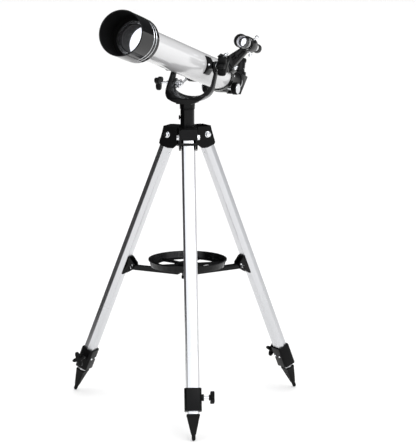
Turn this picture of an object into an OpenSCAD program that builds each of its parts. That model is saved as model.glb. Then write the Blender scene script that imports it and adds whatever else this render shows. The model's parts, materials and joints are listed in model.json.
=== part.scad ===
/* [Tripod] */
// Height of the leg hinge bolts above the ground
hinge_z = 585.4; // [560:0.2:610]
// Distance of the leg hinge bolts from the tripod's axis
hinge_r = 38; // [36:0.5:42]
// Angle of each leg from the vertical
splay = 22.4; // [21:0.2:24]
// Turn of the front leg about the tripod's axis
front_turn = 2.9; // [-10:0.1:10]
// Width of an upper leg across its hinge
leg_w = 29; // [28:0.5:30]
// Depth of an upper leg, from its inner to its outer face
leg_d = 22; // [21:0.5:23]
// Width of the flat outer face of an upper leg
leg_flat = 21; // [20.5:0.1:21.5]
// Distance along a leg from its hinge to the lock collar's top
collar_at = 526; // [500:1:540]
// Distance along a leg from its hinge to the foot's top
foot_at = 579; // [574:1:590]

/* [Tray] */
// Height of the tray's rim
tray_top = 320; // [318:0.5:324]
// Outer radius of the tray's rim
tray_r = 82.2; // [78:0.2:84]
// Height of the brace arms
brace_z = 289; // [287:0.5:290]
// Distance of the brace pivots from the tripod's axis
brace_r = 134; // [133:0.5:135]

/* [Head] */
// Height of the pillar's top
pillar_top = 640; // [636:1:646]
// Outer radius of the pillar
pillar_r = 14.7; // [14:0.1:16]
// Turn of the yoke and telescope, from +X to the way the telescope points
azimuth = -111.9; // [-180:0.1:180]
// Height of the altitude axis
pivot_z = 727.5; // [722:0.5:732]
// Distance of the altitude axis behind the tripod's axis
pivot_back = 42; // [40:0.5:44]

/* [Telescope] */
// Angle of the tube above the horizontal
elevation = 15.7; // [10:0.1:20]
// Outer radius of the white tube
tube_r = 31.5; // [31:0.1:32]
// Outer radius of the dew shield
shield_r = 46.4; // [44:0.1:48]
// Distance from the altitude axis to the dew shield's mouth
mouth_x = 398; // [380:1:420]
// Length of the dew shield
shield_len = 94; // [84:1:110]
// Distance from the altitude axis back to the tube's rear end
tube_rear = 140; // [138:1:142]
// Angle of the finder about the tube, from its top towards the right side
finder_turn = 47; // [44:1:50]
// Distance from the tube's axis to the finder's axis
finder_off = 96.5; // [94:0.5:98]

/* [Hidden] */

$fn = 64;
black = [0.05, 0.05, 0.055];
soft_black = [0.09, 0.09, 0.095];
white = [0.93, 0.93, 0.94];
alloy = [0.82, 0.83, 0.85];
chrome = [0.88, 0.88, 0.9];
glass = [0.75, 0.8, 0.95, 0.5];

// Shared fits: a shaft turns in its hole with this much radial clearance
fit = 0.05;
leg_turns = [-90 + front_turn, 30 + front_turn, 150 + front_turn];
front = 0;
right = 1;
left = 2;

// Frames -------------------------------------------------------------------
// On a leg: origin at its hinge, -Z down the leg, +X outwards, +Y across it
module on_leg(k) {
    rotate([0, 0, leg_turns[k]])
        translate([hinge_r, 0, hinge_z])
            rotate([0, -splay, 0]) children();
}
// On the yoke: origin on the tripod's axis at ground level, +X the way it faces
module on_yoke() {
    rotate([0, 0, azimuth]) children();
}
// On the tube: origin at the altitude axis, +X towards the sky, +Z up
module on_tube() {
    on_yoke() translate([-pivot_back, 0, pivot_z])
        rotate([0, -elevation, 0]) children();
}
// On the finder: origin on its axis, level with the altitude axis, +X forwards
module on_finder() {
    on_tube() rotate([-finder_turn, 0, 0]) translate([0, 0, finder_off]) children();
}
// On the eyepiece: origin on the tube's axis below it, +Z out of the eyepiece
module on_eyepiece() {
    on_tube() translate([eyepiece_x, 0, 0]) children();
}

// Shapes that repeat -------------------------------------------------------
// A straight round rod or tube along X, from x0 to x1
module rod_x(x0, x1, r, bore = 0) {
    translate([x0, 0, 0]) rotate([0, 90, 0]) difference() {
        cylinder(h = x1 - x0, r = r);
        if (bore > 0) translate([0, 0, -1]) cylinder(h = x1 - x0 + 2, r = bore);
    }
}
// A straight round rod along Y, from y0 to y1
module rod_y(y0, y1, r) {
    translate([0, y0, 0]) rotate([-90, 0, 0]) cylinder(h = y1 - y0, r = r);
}
// A leg's rectangular outline with chamfered corners, w across and d deep
module leg_outline(w, d, cut) {
    polygon([[-d/2 + cut, -w/2], [d/2 - cut, -w/2], [d/2, -w/2 + cut], [d/2, w/2 - cut],
        [d/2 - cut, w/2], [-d/2 + cut, w/2], [-d/2, w/2 - cut], [-d/2, -w/2 + cut]]);
}
// A leg extrusion's outline: a flat face outside and inside, and a ridge along each side
module leg_profile(w, d, flat) {
    polygon([[-d/2, -flat/2], [0, -w/2], [d/2, -flat/2], [d/2, flat/2], [0, w/2], [-d/2, flat/2]]);
}
// A grip with round lobes about Z, h tall
module lobed_grip(lobes, reach, lobe_r, core_r, h) {
    linear_extrude(h) {
        circle(r = core_r);
        for (i = [0 : lobes - 1]) rotate(i * 360 / lobes) {
            translate([reach - lobe_r, 0]) circle(r = lobe_r);
            translate([0, -lobe_r * 0.8]) square([reach - lobe_r, lobe_r * 1.6]);
        }
    }
}

// Hub and pillar -----------------------------------------------------------
bolt_r = 3;
cheek_t = 4;
cheek_gap = leg_w + 1;
hub_top = 603;
stem_r = 9;

module hub_cheek() {
    rotate([90, 0, 0]) linear_extrude(cheek_t)
        polygon([[14, hub_top], [44.5, hub_top], [46.5, hub_top - 2], [57.5, 567],
            [55, 563], [38, 557], [25, 557], [14, 566]]);
}
module hub() {
    color(black) difference() {
        union() {
            // solid core under the pillar
            translate([0, 0, 562]) cylinder(h = hub_top - 562, r = 19);
            for (a = leg_turns) rotate([0, 0, a]) {
                for (side = [-1, 1])
                    translate([0, side * (cheek_gap + cheek_t) / 2 + cheek_t / 2, 0]) hub_cheek();
                // top plate between the cheeks
                translate([12, -cheek_gap / 2 - 0.5, hub_top - 4])
                    cube([34.2, cheek_gap + 1, 4]);
                // front panel above the leg
                translate([0, cheek_gap / 2 + 0.5, 0]) rotate([90, 0, 0])
                    linear_extrude(cheek_gap + 1) polygon([[51.6, hub_top - 21],
                        [54, hub_top - 21], [48.5, hub_top], [45.5, hub_top]]);
                // stop bar that the open leg rests against
                translate([56.3, -cheek_gap / 2 - 0.5, 570.5])
                    rotate([0, -splay, 0]) cube([2.4, cheek_gap + 1, 5]);
            }
        }
        for (a = leg_turns) rotate([0, 0, a]) translate([hinge_r, 0, hinge_z])
            rod_y(-leg_w, leg_w, bolt_r);
        // blind hole that lightens the core from below
        translate([0, 0, 560]) cylinder(h = 20, r = 11);
    }
}
module pillar() {
    color(black) difference() {
        translate([0, 0, hub_top]) union() {
            cylinder(h = pillar_top - hub_top, r = pillar_r);
            cylinder(h = 3, r = pillar_r + 2.5);
        }
        translate([0, 0, hub_top + 4]) cylinder(h = 60, r = stem_r + fit);
        // cross hole for the azimuth lock screw
        translate([0, 0, lock_z]) rotate([0, 0, 180]) rod_x(4, 30, lock_r + fit);
    }
}
module hinge_bolts() {
    color(chrome) for (a = leg_turns) rotate([0, 0, a]) translate([hinge_r, 0, hinge_z]) {
        out = cheek_gap / 2 + cheek_t;
        rod_y(-out - 1.5, out + 1.5, bolt_r);
        // washer, hex head and lock nut
        rod_y(out, out + 1.2, 6.5);
        rod_y(-out - 1.2, -out, 6.5);
        translate([0, out + 1.2, 0]) rotate([-90, 0, 0]) cylinder(h = 4, r = 5.6, $fn = 6);
        translate([0, -out - 5.2, 0]) rotate([-90, 0, 0]) cylinder(h = 4, r = 5.6, $fn = 6);
    }
}
lock_z = 622;
lock_r = 2.5;
module azimuth_lock() {
    color(black) translate([0, 0, lock_z]) rotate([0, 0, 180]) {
        rod_x(stem_r + 0.3, pillar_r + 2, lock_r);
        rod_x(pillar_r + 0.6, pillar_r + 3.4, 4.6);
    }
}

// Yoke ---------------------------------------------------------------------
yoke_low = 652;
arm_in = 43.5;
arm_t = 6;
arm_top = pivot_z + 9;
foot_turn = 70;
// Front outline of the yoke: a U with elliptic bends and a flat foot
module yoke_front() {
    out = arm_in + arm_t;
    polygon(concat([[out, arm_top]], bend(out, 30, 682, 0, -foot_turn),
        [[out * cos(foot_turn), yoke_low], [-out * cos(foot_turn), yoke_low]],
        bend(out, 30, 682, foot_turn - 180, -180), [[-out, arm_top], [-arm_in, arm_top]],
        bend(arm_in, 25, 689, -180, 0), [[arm_in, arm_top]]));
}
// Part of an ellipse, w wide and d deep each way from height z
function bend(w, d, z, from, to) =
    [for (i = [0 : 16]) let (a = from + (to - from) * i / 16) [w * cos(a), z + d * sin(a)]];
// Side outline of the yoke: arms that lean back from a deep foot to the pivot
module yoke_side() {
    polygon([[21, 645], [21, 662], [2, 677], [-pivot_back + 9, pivot_z - 12], [-pivot_back + 9, arm_top],
        [-pivot_back - 9, arm_top], [-pivot_back - 9.5, pivot_z - 12], [-36, 690], [-27, 674], [-21, 645]]);
}
module yoke() {
    color(black) difference() {
        on_yoke() {
            intersection() {
                rotate([90, 0, 90]) translate([0, 0, -70]) linear_extrude(110) yoke_front();
                rotate([90, 0, 0]) translate([0, 0, -70]) linear_extrude(140) yoke_side();
            }
            // ear behind the left arm for the rod clamp's bolt
            translate([clamp_x, 0, clamp_z]) {
                rod_y(-arm_in - arm_t, -arm_in, 11);
                translate([0, -arm_in - arm_t, -8]) cube([14, arm_t, 19]);
            }
        }
        on_yoke() translate([-pivot_back, 0, pivot_z]) rod_y(-70, 70, 4);
        // the right arm is slimmer below its bolt
        on_yoke() translate([0, 70, 0]) rotate([90, 0, 0]) linear_extrude(50)
            polygon([[-30, pivot_z - 9], [-38, pivot_z - 16], [-24, 690], [0, 670], [40, 670],
                [40, pivot_z - 9]]);
        on_yoke() translate([clamp_x, 0, clamp_z]) rod_y(-70, -30, clamp_bolt_r + fit);
        // seat of the stem's spigot
        translate([0, 0, yoke_low - 10]) cylinder(h = 17, r = stem_r);
    }
}
module yoke_stem() {
    color(black) {
        // shaft inside the pillar and spigot inside the yoke
        translate([0, 0, hub_top + 8]) cylinder(h = yoke_low + 7 - hub_top - 8, r = stem_r);
        // collar that carries the yoke on the pillar
        difference() {
            translate([0, 0, pillar_top + 0.4]) cylinder(h = yoke_low - pillar_top - 0.4, r = 16.2);
            translate([0, 0, pillar_top + 3]) difference() {
                cylinder(h = 1.4, r = 18);
                cylinder(h = 1.4, r = 15.2);
            }
        }
    }
}

// Altitude rod and its clamp on the left arm -------------------------------
clamp_x = -46;
clamp_z = 686;
clamp_bolt_r = 2.5;
rod_r = 2.5;
rod_y_at = -38.3;
washer_r = 9;
lug_x = -62;
lug_z = -20;
// Where the lug's pivot stands in the yoke's frame, and the rod's slope from there
lug_at = [-pivot_back + lug_x * cos(elevation) - lug_z * sin(elevation),
    pivot_z + lug_x * sin(elevation) + lug_z * cos(elevation)];
rod_gap = clamp_bolt_r + rod_r + 2;
rod_run = [clamp_x - lug_at[0], clamp_z - rod_gap - lug_at[1]];
rod_slope = atan2(rod_run[1], rod_run[0]);
rod_len = norm(rod_run) + 5;

module rod_clamp() {
    color(chrome) on_yoke() translate([clamp_x, 0, clamp_z]) difference() {
        union() {
            rod_y(-arm_in, rod_y_at - rod_r - 0.3, washer_r);
            rod_y(rod_y_at + rod_r + 0.3, rod_y_at + rod_r + 2.3, washer_r);
        }
        rod_y(-arm_in - 1, rod_y_at + rod_r + 3, clamp_bolt_r + fit);
    }
}
module rod_clamp_knob() {
    out = arm_in + arm_t;
    on_yoke() translate([clamp_x, 0, clamp_z]) {
        color(chrome) {
            rod_y(-out - 31, rod_y_at + rod_r + 4.5, clamp_bolt_r);
            rod_y(rod_y_at + rod_r + 2.6, rod_y_at + rod_r + 6, 5);
            rod_y(-out - 16, -out - 0.3, 4.6);
        }
        color(soft_black) translate([0, -out - 30, 0]) rotate([90, 30, 0])
            lobed_grip(3, 17, 5.4, 8.5, 10);
    }
}
module altitude_rod() {
    color(chrome) on_yoke() translate([lug_at[0], rod_y_at, lug_at[1]])
        rotate([0, -rod_slope, 0]) difference() {
            union() {
                rod_x(3, rod_len, rod_r);
                rod_y(-rod_r, rod_r, 5.5);
            }
            rod_y(-10, 10, 2 + fit);
        }
}
module rod_lug() {
    // block under the tube's left side with the pin that the rod's eye turns on
    color(black) on_tube() {
        difference() {
            translate([lug_x - 7, rod_y_at + rod_r + 0.4, lug_z - 7]) cube([14, 16, 14]);
            rod_x(-120, 20, tube_r);
        }
        translate([lug_x, 0, lug_z]) {
            rod_y(rod_y_at - rod_r - 0.5, rod_y_at + rod_r + 4, 2);
            rod_y(rod_y_at - rod_r - 2, rod_y_at - rod_r - 0.4, 4);
        }
    }
}

// Altitude knobs -----------------------------------------------------------
knob_gap = arm_in + arm_t;
module altitude_knob(side, lobes, out, reach, len) {
    on_tube() scale_y(side) {
        color(chrome) {
            rod_y(arm_in - 7, knob_gap + out + 1, 4 - fit);
            rod_y(knob_gap + 0.3, knob_gap + 2.3, 9);
        }
        color(soft_black) translate([0, knob_gap + out, 0]) rotate([-90, 12, 0])
            lobed_grip(lobes, reach, 5.5, 10, len);
    }
}
module scale_y(side) {
    if (side > 0) children();
    else mirror([0, 1, 0]) children();
}
module altitude_knob_right() { altitude_knob(1, 5, 5, 21, 17); }
module altitude_knob_left() { altitude_knob(-1, 5, 2.3, 18, 11); }

// Telescope tube -----------------------------------------------------------
shield_rear = mouth_x - shield_len;
// Inner radius of the mouth, radii of the lens and of its ring, and the ring's place
mouth_r = shield_r - 2.4;
lens_r = 29;
ring_r = 36;
cell_x = 24;
module tube() {
    color(white) on_tube() rod_x(-tube_rear, shield_rear + cell_x - 14, tube_r, tube_r - 1.2);
}
// The dew shield, with stepped rings behind and a hollow mouth in front
module dew_shield() {
    steps = [[0, shield_r - 2.6], [5, shield_r - 2.6], [6, shield_r - 0.6], [17, shield_r - 0.6],
        [18, shield_r - 1.5], [20, shield_r - 1.5], [21, shield_r - 0.3], [30, shield_r - 0.3],
        [31, shield_r - 1.2], [33, shield_r - 1.2], [34, shield_r], [shield_len - 1, shield_r],
        [shield_len, shield_r - 0.8]];
    inside = [[shield_len, mouth_r], [cell_x + 4, mouth_r], [cell_x + 4, ring_r], [cell_x, ring_r],
        [cell_x, lens_r], [cell_x - 14, lens_r], [cell_x - 14, tube_r], [0, tube_r]];
    color(black) on_tube() translate([shield_rear, 0, 0]) rotate([0, 90, 0])
        rotate_extrude() polygon([for (p = concat(steps, inside)) [p[1], p[0]]]);
}
module lens_ring() {
    color(alloy) on_tube() rod_x(shield_rear + cell_x, shield_rear + cell_x + 4, ring_r, lens_r + 0.6);
}
module objective_lens() {
    // biconvex crown with a flatter flint behind it
    color(glass) on_tube() translate([shield_rear + cell_x - 6, 0, 0]) rotate([0, 90, 0])
        rotate_extrude() polygon(concat(
            [for (i = [0 : 12]) [(lens_r - 0.1) * i / 12, -5 + 1.2 * pow(max(i - 1, 0) / 11, 2)]],
            [for (i = [12 : -1 : 0]) [(lens_r - 0.1) * i / 12, 5 - 2.6 * pow(max(i - 1, 0) / 11, 2)]]));
}
// One flared trunnion bracket on each side, wide on the tube, narrow at the arm
module tube_brackets() {
    color(black) on_tube() for (side = [-1, 1]) scale_y(side) difference() {
        rotate([90, 0, 90]) translate([0, 0, -13]) linear_extrude(26)
            polygon([[25, -19], [29.5, -18.5], [36, -9], [arm_in - 0.4, -7.5],
                [arm_in - 0.4, 7.5], [36, 9], [29.5, 18.5], [25, 19]]);
        rod_x(-30, 30, tube_r);
        rod_y(arm_in - 9, arm_in + 5, 4);
    }
}
module fasteners() {
    color(chrome) {
        on_tube() {
            // bracket screws on the front faces
            for (side = [-1, 1]) scale_y(side) translate([13, 37.5, 0]) rod_x(0, 1.4, 2.2);
            // rear cell screws
            for (a = [30 : 120 : 270]) rotate([a, 0, 0])
                translate([-tube_rear - 5, 0, tube_r + 2.4]) cylinder(h = 1.4, r = 2);
        }
        // knurled thumb nuts on the finder bracket's foot
        on_tube() rotate([-finder_turn, 0, 0]) for (side = [-1, 1])
            translate([-124, side * 18.2, 38]) {
                cylinder(h = 6, r = 4.2);
                cylinder(h = 10, r = 2);
            }
    }
}

// Focuser ------------------------------------------------------------------
shaft_x = -161;
draw_r = 17.5;
shaft_r = 2.4;
// Pinion and rack: pitch radius, number of teeth, and the pitch line's depth below the rack's body
pinion_r = 5;
teeth = 12;
tooth_pitch = 2 * PI * pinion_r / teeth;
rack_body = 1.1;
dedendum = 0.85;
addendum = 0.55;
shaft_z = -(draw_r + rack_body + dedendum + pinion_r);
module rear_cell() {
    color(black) on_tube() difference() {
        union() {
            rod_x(-tube_rear - 8, -tube_rear, tube_r + 2.4);
            rod_x(-tube_rear, -tube_rear + 6, tube_r + 2.4, tube_r);
        }
        rod_x(-tube_rear - 9, -tube_rear + 1, 25);
    }
}
module focuser_body() {
    color(soft_black) on_tube() difference() {
        union() {
            // cone from the rear cell to the draw tube's sleeve
            translate([-tube_rear - 8, 0, 0]) rotate([0, -90, 0])
                cylinder(h = 14, r1 = tube_r + 0.6, r2 = 22.5);
            rod_x(-tube_rear - 80, -tube_rear - 20, 22.5);
            rod_x(-tube_rear - 84, -tube_rear - 78, 24);
            // pinion housing under the sleeve
            translate([shaft_x - 11, -13, shaft_z - 8.5]) cube([22, 26, 16]);
        }
        rod_x(-300, 0, draw_r + 0.35);
        // slot for the rack and room for the pinion
        translate([-300, -4.6, -24.2]) cube([300, 9.2, 10]);
        translate([shaft_x, 0, shaft_z]) {
            rod_y(-5.2, 5.2, pinion_r + 1.2);
            rod_y(-20, 20, shaft_r + fit);
        }
    }
}
module focus_shaft() {
    color(chrome) on_tube() translate([shaft_x, 0, shaft_z]) {
        rod_y(-40, 40, shaft_r);
        rod_y(-4.6, 4.6, pinion_r - dedendum);
        for (i = [0 : teeth - 1]) rotate([0, i * 360 / teeth, 0]) translate([0, 4.6, 0])
            rotate([90, 0, 0]) linear_extrude(9.2) polygon([[-0.65, pinion_r - dedendum - 0.3],
                [-0.3, pinion_r + addendum], [0.3, pinion_r + addendum], [0.65, pinion_r - dedendum - 0.3]]);
    }
}
module focus_knobs() {
    color(soft_black) on_tube() translate([shaft_x, 0, shaft_z]) for (side = [-1, 1])
        scale_y(side) difference() {
            union() {
                rod_y(27.5, 39, 12.8);
                rod_y(39, 41, 11.6);
                for (i = [0 : 23]) rotate([0, i * 15, 0])
                    translate([-0.8, 29, 12.2]) cube([1.6, 9, 1.3]);
            }
            rod_y(20, 40, shaft_r);
        }
}
draw_front = -118;
draw_rear = -233;
module draw_tube() {
    color(chrome) on_tube() {
        rod_x(draw_rear, draw_front, draw_r, draw_r - 1.6);
        // collar at the rear end that holds the diagonal
        rod_x(draw_rear - 2, draw_rear + 6, draw_r + 3, draw_r - 1.6);
    }
}
module rack() {
    // toothed strip glued under the draw tube, in mesh with the pinion
    low = -draw_r - rack_body;
    count = floor((draw_front - draw_rear - 16) / tooth_pitch / 2) * 2;
    x0 = shaft_x - floor((shaft_x - draw_rear - 8) / tooth_pitch) * tooth_pitch + tooth_pitch / 2;
    color(black) on_tube() difference() {
        union() {
            translate([x0 - tooth_pitch / 2, -3.8, low]) cube([count * tooth_pitch, 7.6, 2]);
            for (i = [0 : count - 1]) translate([x0 + i * tooth_pitch, 3.8, low])
                rotate([90, 0, 0]) linear_extrude(7.6) polygon([[-0.65, 0.3],
                    [-0.3, -dedendum - addendum], [0.3, -dedendum - addendum], [0.65, 0.3]]);
        }
        rod_x(draw_rear, draw_front, draw_r);
    }
}

// Diagonal and eyepiece ----------------------------------------------------
eyepiece_x = -256;
diag_front = -238;
diag_rear = -272;
diag_half = 16;
diag_low = -25;
diag_high = 18;
module diagonal_body() {
    color(soft_black) on_tube() difference() {
        union() {
            rotate([90, 0, 0]) translate([0, 0, -diag_half]) linear_extrude(2 * diag_half)
                polygon([[diag_front, diag_low], [diag_front, diag_high], [diag_rear, diag_high],
                    [diag_rear - 1, diag_high - 3], [diag_front - 4, diag_low - 1.5]]);
            // nose inside the draw tube
            rod_x(diag_front, diag_front + 26, draw_r - 1.65);
            // socket for the eyepiece
            translate([eyepiece_x, 0, diag_high]) cylinder(h = 7, r = 17);
        }
        rod_x(-252, diag_front + 30, draw_r - 3.6);
        translate([eyepiece_x, 0, -2]) cylinder(h = 40, r = 12.5);
        // pocket for the mirror
        translate([eyepiece_x, 0, 0]) rotate([0, 45, 0]) translate([-9.7, -12.2, -2.2]) cube([19.4, 24.4, 12]);
    }
}
module diagonal_mirror() {
    color(chrome) on_tube() translate([eyepiece_x, 0, 0]) rotate([0, 45, 0])
        translate([-9.5, -12, -2]) cube([19, 24, 2]);
}
cup_z = 47;
module eyepiece() {
    color(chrome) on_eyepiece() rotate_extrude() polygon([[11, 14], [12.4, 14], [12.4, 25.3], [13.6, 25.3],
        [13.6, 29], [13, 29.6], [13, 32], [13.6, 32.6], [13.6, cup_z], [9, cup_z], [9, 36], [11, 34]]);
}
module eye_cup() {
    color(soft_black) on_eyepiece() rotate_extrude() polygon([[7, cup_z], [14.8, cup_z], [15.2, cup_z + 1],
        [15.2, cup_z + 6], [13.5, cup_z + 9], [11.8, cup_z + 9], [9.5, cup_z + 4], [7, cup_z + 3]]);
}

// Finder -------------------------------------------------------------------
ring_front = -101;
ring_rear = -131;
module finder_bracket() {
    color(black) difference() {
        on_tube() rotate([-finder_turn, 0, 0]) difference() {
            union() {
                // arm: broad at the tube, narrow at the ring
                rotate([90, 0, 90]) translate([0, 0, -133.5]) linear_extrude(12)
                    polygon([[-12.5, 33], [12.5, 33], [12.5, 46], [7, finder_off - 13],
                        [-7, finder_off - 13], [-12.5, 46]]);
                // foot plate that follows the tube
                translate([-133.5, -23, 28]) cube([24, 46, 10]);
                // post with a flange on the arm's shoulder
                translate([-121.5, -3, 50]) cube([6, 6, 30]);
                translate([-121.5, -5.5, 60]) cube([9, 11, 3]);
                translate([0, 0, finder_off]) rod_x(ring_rear, ring_front, 16.2);
            }
            rod_x(-160, -90, tube_r);
            translate([0, 0, finder_off]) rod_x(ring_rear - 1, ring_front + 1, 14.2);
            // shallow panel on the front of the arm
            translate([-122.5, -7, 49]) cube([3, 3, 20]);
        }
        for (a = screw_turns) on_finder() rotate([a, 0, 0])
            translate([-116, 0, 10]) cylinder(h = 12, r = 1.6);
    }
}
screw_turns = [0, -117, 117];
module finder_tube() {
    color(white) on_finder() difference() {
        union() {
            rod_x(-98, -78, 13);
            rod_x(-136, -97, 10);
            rod_x(-160, -135, 8.4);
        }
        rod_x(-161, -97, 7);
        rod_x(-96.5, -70, 11.6);
    }
}
module finder_hood() {
    color(black) on_finder() {
        difference() {
            rod_x(-84, -66, 14.8);
            rod_x(-79, -60, 13.4);
            rod_x(-90, -78, 13);
        }
        // dark band in front of the bracket's ring
        rod_x(-100.6, -98, 13.8, 10);
    }
}
module finder_lens() {
    color(glass) on_finder() rod_x(-83, -80, 11.55);
}
module finder_eyepiece() {
    color(black) on_finder() difference() {
        union() {
            rod_x(-173, -158.5, 10);
            rod_x(-175, -173, 8.6);
        }
        rod_x(-180, -172, 4.5);
        rod_x(-170, -150, 8.4 + fit);
    }
}
module finder_screw(turn) {
    color(chrome) on_finder() rotate([turn, 0, 0]) translate([-116, 0, 0]) {
        translate([0, 0, 10.3]) cylinder(h = 16, r = 1.55);
        translate([0, 0, 22]) cylinder(h = 5, r = 3.6);
    }
}
module finder_screw_top() { finder_screw(screw_turns[0]); }
module finder_screw_right() { finder_screw(screw_turns[1]); }
module finder_screw_left() { finder_screw(screw_turns[2]); }

// Tray and braces ----------------------------------------------------------
boss_r = 12;
tray_floor = tray_top - 15;
module tray() {
    color(black) difference() {
        union() {
            translate([0, 0, tray_floor]) cylinder(h = tray_top - tray_floor, r1 = tray_r - 4, r2 = tray_r);
            translate([0, 0, tray_top - 2.5]) cylinder(h = 2.5, r = tray_r + 1);
        }
        difference() {
            translate([0, 0, tray_floor + 2]) cylinder(h = 20, r1 = tray_r - 6, r2 = tray_r - 1.5);
            translate([0, 0, tray_floor]) cylinder(h = 6, r = 22);
            translate([0, 0, tray_floor]) cylinder(h = 7.2, r = 7.5);
            for (a = [0 : 60 : 300]) rotate([0, 0, a + 15])
                translate([10, -3.5, tray_floor]) cube([tray_r - 12, 7, 4.5]);
        }
        // sector openings between the spokes
        for (a = [0 : 60 : 300]) rotate([0, 0, a + 15]) translate([0, 0, tray_floor - 1])
            sector_hole(30, tray_r - 18, 44);
        translate([0, 0, tray_floor - 1]) cylinder(h = 10, r = 3.2);
    }
}
// A ring sector, from radius r0 to r1, spanning the given angle, 10 tall
module sector_hole(r0, r1, span) {
    rotate([0, 0, 30]) intersection() {
        difference() {
            cylinder(h = 10, r = r1);
            translate([0, 0, -1]) cylinder(h = 12, r = r0);
        }
        linear_extrude(10) polygon([[0, 0], [2 * r1 * cos(span / 2), -2 * r1 * sin(span / 2)],
            [2 * r1 * cos(span / 2), 2 * r1 * sin(span / 2)]]);
    }
}
module tray_boss() {
    // spreader boss below the tray, with a lug towards each brace arm
    color(black) difference() {
        union() {
            translate([0, 0, brace_z - 5]) cylinder(h = tray_floor - brace_z + 5, r = boss_r);
            translate([0, 0, tray_floor - 3]) cylinder(h = 3, r = 20);
        }
        translate([0, 0, brace_z - 6]) cylinder(h = 40, r = 3.2);
    }
}
module tray_screw() {
    // long screw through boss and tray, with a wing grip below and a cap nut above
    color(chrome) {
        translate([0, 0, brace_z - 8]) cylinder(h = tray_floor + 9 - brace_z + 8, r = 3.15);
        translate([0, 0, tray_floor + 7.2]) cylinder(h = 3.3, r = 6);
    }
    color(black) translate([0, 0, brace_z - 12.5]) lobed_grip(2, 13, 3.5, 7, 7);
}
// The bracket round a leg that carries its brace arm
brace_along = (hinge_z - brace_z) / cos(splay);
module brace_bracket(k) {
    color(black) difference() {
        on_leg(k) difference() {
            union() {
                // plate riveted to the leg's inner face
                translate([-leg_d / 2 - 2.5, -leg_flat / 2, -brace_along - 12])
                    cube([2.5, leg_flat, 42]);
                // ears that reach inwards to the brace pivot, each with a spur
                for (side = [-1, 1]) translate([0, side * 9 + 2, -brace_along])
                    rotate([90, 0, 0]) linear_extrude(4)
                        polygon([[-leg_d / 2, -12], [-leg_d / 2, 30], [-15, 29],
                            [-29, 21], [-31, 17], [-29.5, 6], [-25, 2], [-15, -11]]);
            }
            translate([0, 0, -brace_along - 30]) linear_extrude(80)
                leg_profile(leg_w, leg_d, leg_flat);
        }
        rotate([0, 0, leg_turns[k]]) translate([brace_r, 0, brace_z]) rod_y(-20, 20, 2.5);
    }
}
module brace_arm(k) {
    color(black) rotate([0, 0, leg_turns[k]]) translate([brace_r, 0, brace_z]) {
        // bar under the tray
        translate([-brace_r + boss_r + 9, -6, -5]) cube([brace_r - boss_r - 9, 12, 10]);
        // knuckle between the bracket's ears
        rod_y(-6.6, 6.6, 5);
        // pin that turns in the ears
        rod_y(-13, 13, 2.5 - fit);
    }
}

// Legs ---------------------------------------------------------------------
upper_len = collar_at + 30;
module upper_leg(k) {
    color(alloy) on_leg(k) difference() {
        translate([0, 0, -upper_len]) linear_extrude(upper_len + 9) difference() {
            leg_profile(leg_w, leg_d, leg_flat);
            leg_profile(leg_w - 3.4, leg_d - 3.2, leg_flat - 2.2);
        }
        rod_y(-leg_w, leg_w, bolt_r + fit);
        translate([0, 0, -lock_screw_at]) rod_y(0, leg_w, 3 + fit);
        // flatten the top so that the leg swings under the hub's plate
        translate([0, 0, 4]) rotate([0, splay, 0]) translate([-30, -30, 5]) cube([60, 60, 30]);
    }
}
collar_len = 47;
lock_screw_at = collar_at + 19;
module leg_collar(k) {
    color(black) on_leg(k) difference() {
        union() {
            translate([0, 0, -collar_at - collar_len]) linear_extrude(collar_len)
                leg_outline(leg_w + 6, leg_d + 6, 4);
            // boss that the lock screw is threaded through
            translate([0, 0, -lock_screw_at]) rod_y(leg_w / 2, leg_w / 2 + 8, 7);
        }
        // socket for the upper leg
        translate([0, 0, -upper_len]) linear_extrude(60) leg_profile(leg_w, leg_d, leg_flat);
        // way through for the lower leg
        translate([0, 0, -upper_len - 30]) linear_extrude(60)
            leg_profile(inner_w + 0.8, inner_d + 0.8, inner_flat + 0.8);
        translate([0, 0, -lock_screw_at]) rod_y(0, 40, 3 + fit);
    }
}
inner_w = 24.6;
inner_d = 17.6;
inner_flat = 18.2;
lower_top = 110;
module lower_leg(k) {
    color(alloy) on_leg(k) translate([0, 0, -foot_at - 7]) linear_extrude(foot_at + 7 - lower_top)
        difference() {
            leg_profile(inner_w, inner_d, inner_flat);
            leg_profile(inner_w - 3, inner_d - 2.8, inner_flat - 2);
        }
}
tip_r = 4;
tip_at = (hinge_z - tip_r) / cos(splay);
module foot(k) {
    color(soft_black) on_leg(k) difference() {
        union() {
            // tapered rubber foot with a rounded tip
            hull() {
                translate([0, 0, -foot_at - 4]) linear_extrude(4)
                    leg_outline(inner_w + 3, inner_d + 3, 3);
                translate([0, 0, -tip_at + 8]) cylinder(h = 1, r = 5.2, $fn = 24);
            }
            hull() {
                translate([0, 0, -tip_at + 8]) cylinder(h = 1, r = 4.2, $fn = 24);
                translate([0, 0, -tip_at]) sphere(r = tip_r, $fn = 24);
            }
        }
        translate([0, 0, -foot_at - 7]) linear_extrude(20) leg_profile(inner_w, inner_d, inner_flat);
    }
}
module leg_knob(k) {
    on_leg(k) translate([0, 0, -lock_screw_at]) {
        color(chrome) rod_y(inner_w / 2 + 0.2, leg_w / 2 + 20, 3);
        color(soft_black) {
            rod_y(leg_w / 2 + 18, leg_w / 2 + 22, 6);
            translate([0, leg_w / 2 + 21, 0]) rotate([-90, 45, 0])
                lobed_grip(4, 16, 4, 7.5, 8.5);
        }
    }
}

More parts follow.
